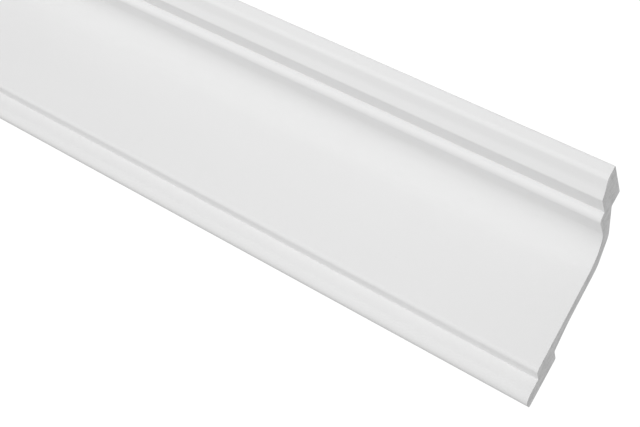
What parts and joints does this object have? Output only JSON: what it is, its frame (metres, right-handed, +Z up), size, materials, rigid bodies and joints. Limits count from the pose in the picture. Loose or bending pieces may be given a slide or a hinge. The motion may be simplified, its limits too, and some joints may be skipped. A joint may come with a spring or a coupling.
{
  "type": "crown moulding length",
  "caption": "Straight length of one-piece crown moulding with fillet, splay, bead, cove and lip, for the corner between wall and ceiling.",
  "frame": {"origin": "middle of the flat seat that lies on the wall, half way along the length", "axes": "+X along the length, +Y into the wall, +Z up to the ceiling; the moulded face looks towards -Y"},
  "size_m": [1, 0.095, 0.1],
  "materials": {
    "primed_foam": "factory-primed white over rigid polyurethane foam, matt with a slight satin, smooth moulded skin and sawn ends"
  },
  "bodies": {
    "root": {"crown_moulding": "primed_foam"}
  },
  "joints": []
}
